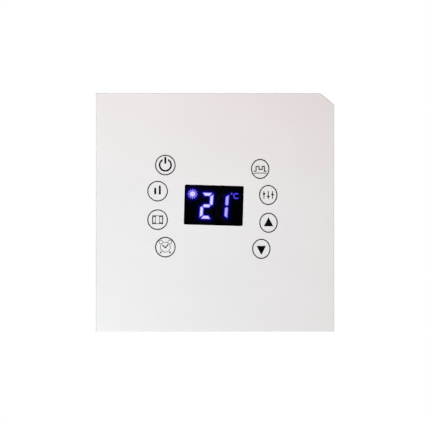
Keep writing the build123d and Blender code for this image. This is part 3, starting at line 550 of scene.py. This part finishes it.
small_black = plastic("resistor_black", (0.02, 0.02, 0.022), 0.35, grain=6000, depth=0.000006)
small_pale = plastic("ceramic_tan", (0.36, 0.24, 0.13), 0.5, grain=6000, depth=0.000006)
control_low, control_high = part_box("control_board")
power_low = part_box("power_board")[0]
solder_joints("header_solder", ["header_pins"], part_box("header_pins")[0].y, control_low.y, "front_unit")
solder_joints("display_solder", ["display_pins"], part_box("display_pins")[1].y, control_high.y, "front_unit")
lead_nodes = ["power_module", "fuse", "capacitor", "varistor", "relay_base"]
solder_joints("power_board_solder", lead_nodes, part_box("fuse")[0].y, power_low.y, "base")
solder_joints("terminal_solder", ["contact_bars"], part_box("contact_bars")[0].y, power_low.y, "base", 3.2 * MM)
small_parts("control_board", "control_board", 1, 34, 5, "front_unit")
small_parts("power_board", "power_board", -1, 16, 8, "base")


def touch_pads():
    """The gold ring on the board under each key's spring."""
    shape = Shape()
    springs = cad["touch_springs"].data.vertices
    for sx in (-1, 1):
        side = sorted((v.co for v in springs if v.co.x * sx > 0), key=lambda c: c.z)
        groups = [[side[0]]]
        for co in side[1:]:
            if co.z - groups[-1][-1].z > 1.5 * MM:
                groups.append([])
            groups[-1].append(co)
        for group in groups:
            x = (min(c.x for c in group) + max(c.x for c in group)) / 2
            z = (min(c.z for c in group) + max(c.z for c in group)) / 2
            shape.ring(x, z, 2.0 * MM, 3.2 * MM, control_low.y - 0.012 * MM, control_low.y)
    pad_gold = metal("pad_gold", (0.86, 0.6, 0.24), 0.25)
    shape.piece("touch_pads", pad_gold, "front_unit", "gold_pins", smooth=False)


touch_pads()
THREAD_R, THREAD_HEIGHT, THREAD_PITCH = 1.49 * MM, 0.05 * MM, 0.5 * MM
THREAD_END = 20.2 * MM
for i in range(1, 7):
    low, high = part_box(f"terminal_screw_{i}")
    turns = Shape()
    x, z = (low.x + high.x) / 2, (low.z + high.z) / 2
    turns.helix(x, z, THREAD_R, THREAD_HEIGHT, low.y + 0.7 * MM, THREAD_END, THREAD_PITCH)
    turns.piece(f"thread_{i}", zinc, f"screw_{i}", "screw_zinc")

# Moulded terminal numbers over the screwdriver holes, read from behind, and marks from the mould.
NUMERALS = {
    1: [(0.25, 1.3), (0.6, 1.6), (0.6, 0)],
    2: [(0.05, 1.3), (0.3, 1.58), (0.75, 1.55), (0.95, 1.2), (0.8, 0.8), (0, 0), (1, 0)],
    3: [(0.05, 1.4), (0.45, 1.6), (0.9, 1.35), (0.8, 0.95), (0.45, 0.84)]
    + [(0.88, 0.7), (0.95, 0.3), (0.5, 0), (0.03, 0.18)],
    4: [(0.75, 0), (0.75, 1.6), (0, 0.5), (1, 0.5)],
    5: [(0.92, 1.6), (0.14, 1.6), (0.08, 0.9), (0.55, 1.0), (0.95, 0.65)]
    + [(0.88, 0.18), (0.45, 0), (0.02, 0.16)],
    6: [(0.82, 1.55), (0.35, 1.2), (0.05, 0.6), (0.2, 0.12), (0.55, 0)]
    + [(0.9, 0.2), (0.92, 0.6), (0.55, 0.88), (0.12, 0.7)],
}
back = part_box("rear_housing")[1].y
screw_x = [sum(c.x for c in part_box(f"terminal_screw_{i}")) / 2 for i in range(1, 7)]
ROOT = back - 0.05 * MM  # raised marks start this deep in the wall of the box
NUMERAL_FOOT, NUMERAL_WIDTH, NUMERAL_HEIGHT = -14.8, 1.5, 1.35  # the foot's z and the scales, in mm
marks = Shape()
for i, x in enumerate(screw_x, start=1):
    # mirrored in x, because the back is read from behind
    line = [
        (x - (px - 0.5) * NUMERAL_WIDTH * MM, (NUMERAL_FOOT + pz * NUMERAL_HEIGHT) * MM)
        for px, pz in NUMERALS[i]
    ]
    marks.path(line, 0.34 * MM, ROOT, back + 0.22 * MM)
for x, z in ((-19.5, 19.5), (19.5, 19.5), (-19.5, -7.5), (19.5, -7.5)):
    marks.ring(x * MM, z * MM, 1.55 * MM, 1.75 * MM, ROOT, back + 0.06 * MM)
# a date clock: a ring, twelve ticks and a pointer
CLOCK_Z = 20.5  # in mm
marks.ring(0, CLOCK_Z * MM, 2.1 * MM, 2.35 * MM, ROOT, back + 0.1 * MM)
for i in range(12):
    a = i * math.pi / 6
    tick = [(r * math.cos(a) * MM, (CLOCK_Z + r * math.sin(a)) * MM) for r in (1.5, 1.85)]
    marks.path(tick, 0.18 * MM, ROOT, back + 0.1 * MM)
marks.path([(0, 19.6 * MM), (0, 21.3 * MM)], 0.25 * MM, ROOT, back + 0.12 * MM)
pointer = [(-0.4 * MM, 20.8 * MM), (0, 21.4 * MM), (0.4 * MM, 20.8 * MM)]
marks.path(pointer, 0.22 * MM, ROOT, back + 0.12 * MM)
marks_white = plastic("marks_white", (0.76, 0.755, 0.73), 0.5, grain=2400, depth=0.00003)
marks.piece("moulded_marks", marks_white, "base", "box_white")

# A printed sticker with a wordless wiring picture: supply, switched contact and sensor over their terminals.
sticker = Shape()
sticker.box(-19.5 * MM, 19.5 * MM, back, back + 0.06 * MM, -11.6 * MM, -5.2 * MM)
paper = plastic("sticker_paper", (0.82, 0.82, 0.8), 0.6, grain=5000, depth=0.000008)
sticker.piece("wiring_sticker", paper, "base", "cover_white", smooth=False)
printed = Shape()
ink_y = (back + 0.05 * MM, back + 0.075 * MM)
LINE = 0.22 * MM
WIRE_LEVEL = -8.3  # the height of the drawn wires, in mm
supply, contact, probe = ((screw_x[i] + screw_x[i + 1]) / 2 for i in (0, 2, 4))
for i, x in enumerate(screw_x):
    inward = 1 if i % 2 == 0 else -1
    wire = [(x, -11.3 * MM), (x, WIRE_LEVEL * MM), (x + inward * 1.3 * MM, WIRE_LEVEL * MM)]
    printed.path(wire, LINE, *ink_y)
    printed.disc(x, -11.1 * MM, 0.34 * MM, *ink_y)
wave = [(supply + t * 0.18 * MM, (WIRE_LEVEL + 0.7 * math.sin(t * math.pi / 5)) * MM) for t in range(-5, 6)]
printed.path(wave, LINE, *ink_y)
printed.path([(contact + 1.6 * MM, WIRE_LEVEL * MM), (contact - 1.3 * MM, -7.0 * MM)], 0.24 * MM, *ink_y)
sensor = [(-1.5, -8.9), (1.5, -8.9), (1.5, -7.7), (-1.5, -7.7), (-1.5, -8.9)]
printed.path([(probe + x * MM, z * MM) for x, z in sensor], LINE, *ink_y)
printed.path([(probe - 1.6 * MM, -9.5 * MM), (probe + 1.2 * MM, -6.7 * MM)], 0.2 * MM, *ink_y)
printed.piece("wiring_print", ink, "base", "ink_black", smooth=False)

# An arrow stamped beside the opening of the mounting plate shows which way is up.
arrow = Shape()
arrow_y = (-0.02 * MM, 0.02 * MM)
arrow.path([(0, 30 * MM), (0, 36.5 * MM)], 0.7 * MM, *arrow_y)
arrow.path([(-2 * MM, 34 * MM), (0, 36.8 * MM), (2 * MM, 34 * MM)], 0.7 * MM, *arrow_y)
stamped = metal("stamped_steel", (0.3, 0.31, 0.32), 0.5)
arrow.piece("plate_arrow", stamped, "base", "zinc_steel", smooth=False)


# ---------------------------------------------------------------- lit display
def front_edges(node):
    """The outline of a node's front faces as an array of (start, end) points in X and Z, and those faces."""
    mesh = cad[node].data
    front = min(v.co.y for v in mesh.vertices)
    faces = [p for p in mesh.polygons if all(mesh.vertices[i].co.y < front + 1e-6 for i in p.vertices)]
    count = {}
    for face in faces:
        corners = [tuple(round(c, 8) for c in mesh.vertices[i].co.xz) for i in face.vertices]
        for a, b in zip(corners, corners[1:] + corners[:1]):
            key = (min(a, b), max(a, b))
            count[key] = count.get(key, 0) + 1
    edges = np.array([key for key, n in count.items() if n == 1])
    triangles = []
    for face in faces:
        corners = [mesh.vertices[i].co.xz for i in face.vertices]
        for i in range(1, len(corners) - 1):
            triangles.append([tuple(corners[0]), tuple(corners[i]), tuple(corners[i + 1])])
    return edges, np.array(triangles)


def depth_inside(node, points):
    """How far each point lies inside the node's front outline, in metres; negative outside."""
    edges, triangles = front_edges(node)
    start, along = edges[:, 0], edges[:, 1] - edges[:, 0]
    square = (along**2).sum(1)
    nearest = np.full(len(points), 1.0)
    for s, d, q in zip(start, along, square):
        t = np.clip(((points - s) @ d) / q, 0, 1)
        nearest = np.minimum(nearest, np.hypot(*(points - s - t[:, None] * d).T))
    inside = np.zeros(len(points), bool)
    for a, b, c in triangles:
        crosses = []
        for p, q in ((a, b), (b, c), (c, a)):
            crosses.append((q[0] - p[0]) * (points[:, 1] - p[1]) - (q[1] - p[1]) * (points[:, 0] - p[0]))
        crosses = np.array(crosses)
        inside |= (crosses >= 0).all(0) | (crosses <= 0).all(0)
    return np.where(inside, nearest, -nearest)


CORE = np.array((0.80, 0.72, 1.0))
RIM = np.array((0.10, 0.07, 1.0))
HALO = np.array((0.010, 0.006, 0.62))
FILM_STEP = 0.1 * MM
SECOND_DIGIT_LEVEL = 0.86
SECOND_DIGIT_TINT = (0.7, 0.69, 1.0)
UNLIT_LEVEL = 0.0012


def light_of(node, points, core, level, soft=0.34 * MM, spread=0.2 * MM, inset=0.0):
    """Light colour at each point: the core's in the middle of a bar, blue at its rim and a halo round it."""
    inside = depth_inside(node, points) - inset
    t = np.clip(inside / soft, 0, 1)[:, None] ** 0.8
    bar = RIM * (1 - t) + np.asarray(core) * t
    away = np.clip(-inside, 0, None)
    halo = HALO * (0.9 * np.exp(-away / spread) + 0.07 * np.exp(-away / (3 * spread)))[:, None]
    return np.where((inside > 0)[:, None], bar, halo) * np.asarray(level).reshape(-1, 1)


def display_film():
    """The tinted film over the display's face, through which its bars shine."""
    low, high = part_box("display_lens")
    margin = 0.25 * MM
    x0, x1, z0, z1 = low.x - margin, high.x + margin, low.z - margin, high.z + margin
    across = round((x1 - x0) / FILM_STEP)
    up = round((z1 - z0) / FILM_STEP)
    xs, zs = np.linspace(x0, x1, across + 1), np.linspace(z0, z1, up + 1)
    points = np.array([(x, z) for z in zs for x in xs])
    lit_low, lit_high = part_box("lit_segments")
    middle = (lit_low.x + lit_high.x) / 2
    first_digit = points[:, 0] < middle + 1.4 * MM
    digit_level = np.where(first_digit, 1.0, SECOND_DIGIT_LEVEL)
    light = light_of("lit_segments", points, CORE, digit_level)
    light[~first_digit] *= SECOND_DIGIT_TINT
    sun = ("sun_indicator", points, (0.76, 0.62, 1.0), 0.95)
    light += light_of(*sun, soft=0.2 * MM, spread=0.22 * MM, inset=-0.05 * MM)
    unit = ("celsius_indicator", points, (0.17, 0.12, 0.85), 0.82)
    light += light_of(*unit, soft=0.2 * MM, spread=0.1 * MM, inset=0.06 * MM)
    dark = depth_inside("unlit_segments", points)[:, None] > 0
    light += np.where(dark, UNLIT_LEVEL, 0.0)
    # the module's face is just behind the film
    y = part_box("display_housing")[0].y - 0.03 * MM
    mesh = bpy.data.meshes.new("display_film")
    verts = [(x, y, z) for x, z in points]
    row = across + 1
    faces = []
    for j in range(up):
        for i in range(across):
            k = j * row + i
            faces.append((k, k + 1, k + row + 1, k + row))
    mesh.from_pydata(verts, [], faces)
    colors = mesh.color_attributes.new("light", "FLOAT_COLOR", "POINT")
    colors.data.foreach_set("color", np.c_[light, np.ones(len(light))].ravel())
    ob = bpy.data.objects.new("display_film", mesh)
    scene.collection.objects.link(ob)
    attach(ob, "front_unit")
    return ob


film = display_film()
film_mat = Mat("display_film", (0.001, 0.001, 0.0013), 0.6, Specular_IOR_Level=0.02)
shine = film_mat.node("ShaderNodeVertexColor", layer_name="light").outputs["Color"]
film_mat.feed(Emission_Color=shine, Roughness=film_mat.map(film_mat.noise(900), 0.5, 0.7))
film_low, film_high = (0.0008, 0.0008, 0.001), (0.0014, 0.0014, 0.0018)
film_tint = film_mat.ramp(film_mat.noise(1500, 2), (0.3, film_low), (0.7, film_high))
film_mat.feed(Base_Color=film_tint)
film_mat.bump(film_mat.noise(4000, 2), 0.000003)
# enough to shine through both faces of the lens at full level
film_mat.shader.inputs["Emission Strength"].default_value = 1 / (1 - LENS_ALPHA) ** 2
film.data.materials.append(film_mat.material)


def glow(name, color, strength):
    """A light bar: a milky diffuser lit from inside, a little uneven."""
    mat = Mat(name, (0.5, 0.5, 0.55), 0.4)
    dim = tuple(c * 0.8 for c in color)
    mat.feed(Emission_Color=mat.ramp(mat.noise(900, 2), (0.3, dim), (0.7, color)))
    mat.feed(Roughness=mat.map(mat.noise(1500, 2), 0.32, 0.48))
    mat.bump(mat.noise(3000, 2), 0.000006)
    mat.shader.inputs["Emission Strength"].default_value = strength
    return mat


paint(glow("segment_lit", (0.75, 0.68, 1.0), 2.0), "lit_segments")
paint(glow("sun_lit", (0.7, 0.6, 1.0), 1.6), "sun_indicator")
paint(glow("unit_lit", (0.15, 0.12, 0.85), 1.2), "celsius_indicator")
paint(plastic("segment_dark", (0.05, 0.05, 0.055), 0.4), "unlit_segments")
paint(plastic("display_body", (0.008, 0.008, 0.009), 0.5), "display_housing")

# ---------------------------------------------------------------- studio
CAMERA_DISTANCE = 0.8
FRONT_WIDTH = 0.15505  # what the frame's width covers at the panel's face
SKY_LEVEL, DIM_LEVEL = 0.27, 0.02  # the world's light, and what is left of it straight before the panel
DIM_FROM, DIM_FULL = 0.8, 0.95  # the cosines between which it dims
FLOOR_HALF, FLOOR_Z, FLOOR_GLOW = 2.0, -0.3, 0.54


def camera():
    """Straight before the middle of the panel."""
    data = bpy.data.cameras.new("camera")
    data.sensor_width = 36
    data.lens = data.sensor_width * CAMERA_DISTANCE / FRONT_WIDTH
    ob = bpy.data.objects.new("camera", data)
    low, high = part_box("front_panel")
    ob.location = ((low.x + high.x) / 2, low.y - CAMERA_DISTANCE, (low.z + high.z) / 2)
    ob.rotation_euler = (math.pi / 2, 0, 0)
    scene.collection.objects.link(ob)
    scene.camera = ob


def lamp(name, place, size, watts, color=(1, 1, 1)):
    """A round soft lamp aimed at the middle of the object."""
    data = bpy.data.lights.new(name, "AREA")
    data.shape = "DISK"
    data.size = size
    data.energy = watts
    data.color = color
    ob = bpy.data.objects.new(name, data)
    ob.location = place
    ob.rotation_euler = (-Vector(place)).to_track_quat("-Z", "Y").to_euler()
    ob.visible_camera = False
    scene.collection.objects.link(ob)


def world():
    """Soft light from all round, dimmer straight before the panel; the camera sees it plain white."""
    made = bpy.data.worlds.new("studio")
    made.use_nodes = True
    scene.world = made
    tree = made.node_tree
    tree.nodes.clear()
    new, link = tree.nodes.new, tree.links.new
    coords = new("ShaderNodeTexCoord")
    towards = new("ShaderNodeVectorMath")
    towards.operation = "DOT_PRODUCT"
    towards.inputs[1].default_value = (0, -1, 0)
    link(coords.outputs["Generated"], towards.inputs[0])
    level = new("ShaderNodeMapRange")
    level.inputs["From Min"].default_value = DIM_FROM
    level.inputs["From Max"].default_value = DIM_FULL
    level.inputs["To Min"].default_value = SKY_LEVEL
    level.inputs["To Max"].default_value = DIM_LEVEL
    link(towards.outputs["Value"], level.inputs["Value"])
    light = new("ShaderNodeBackground")
    light.inputs["Color"].default_value = (1, 1, 1, 1)
    link(level.outputs["Result"], light.inputs["Strength"])
    seen = new("ShaderNodeBackground")
    seen.inputs["Color"].default_value = (1, 1, 1, 1)
    path = new("ShaderNodeLightPath")
    mix = new("ShaderNodeMixShader")
    link(path.outputs["Is Camera Ray"], mix.inputs["Fac"])
    link(light.outputs["Background"], mix.inputs[1])
    link(seen.outputs["Background"], mix.inputs[2])
    output = new("ShaderNodeOutputWorld")
    link(mix.outputs["Shader"], output.inputs["Surface"])


def floor():
    """A pale floor well below the object, with a faint glow of its own."""
    mesh = bpy.data.meshes.new("floor")
    corners = [(x * FLOOR_HALF, y * FLOOR_HALF, FLOOR_Z) for x, y in ((-1, -1), (1, -1), (1, 1), (-1, 1))]
    mesh.from_pydata(corners, [], [(0, 1, 2, 3)])
    ob = bpy.data.objects.new("floor", mesh)
    scene.collection.objects.link(ob)
    mat = Mat("floor", (0.9, 0.9, 0.9), 0.8)
    mat.feed(Base_Color=mat.ramp(mat.noise(20), (0.3, (0.9, 0.9, 0.9)), (0.7, (0.94, 0.94, 0.94))))
    mat.feed(Emission_Color=mat.ramp(mat.noise(6), (0.3, (0.98, 0.98, 0.98)), (0.7, (1, 1, 1))))
    mat.shader.inputs["Emission Strength"].default_value = FLOOR_GLOW
    mesh.materials.append(mat.material)


camera()
world()
floor()
lamp("key", (-0.1, -0.3, -0.14), 0.18, 0.418, (0.965, 0.98, 1))
lamp("upper", (-0.08, -0.24, 0.17), 0.1, 0.262)
lamp("rear_left", (-0.35, 0.6, 0.12), 0.5, 1.5)
lamp("rear_right", (0.55, 0.5, 0.06), 0.5, 0.85)
scene.view_settings.view_transform = "Standard"
scene.cycles.use_denoising = True
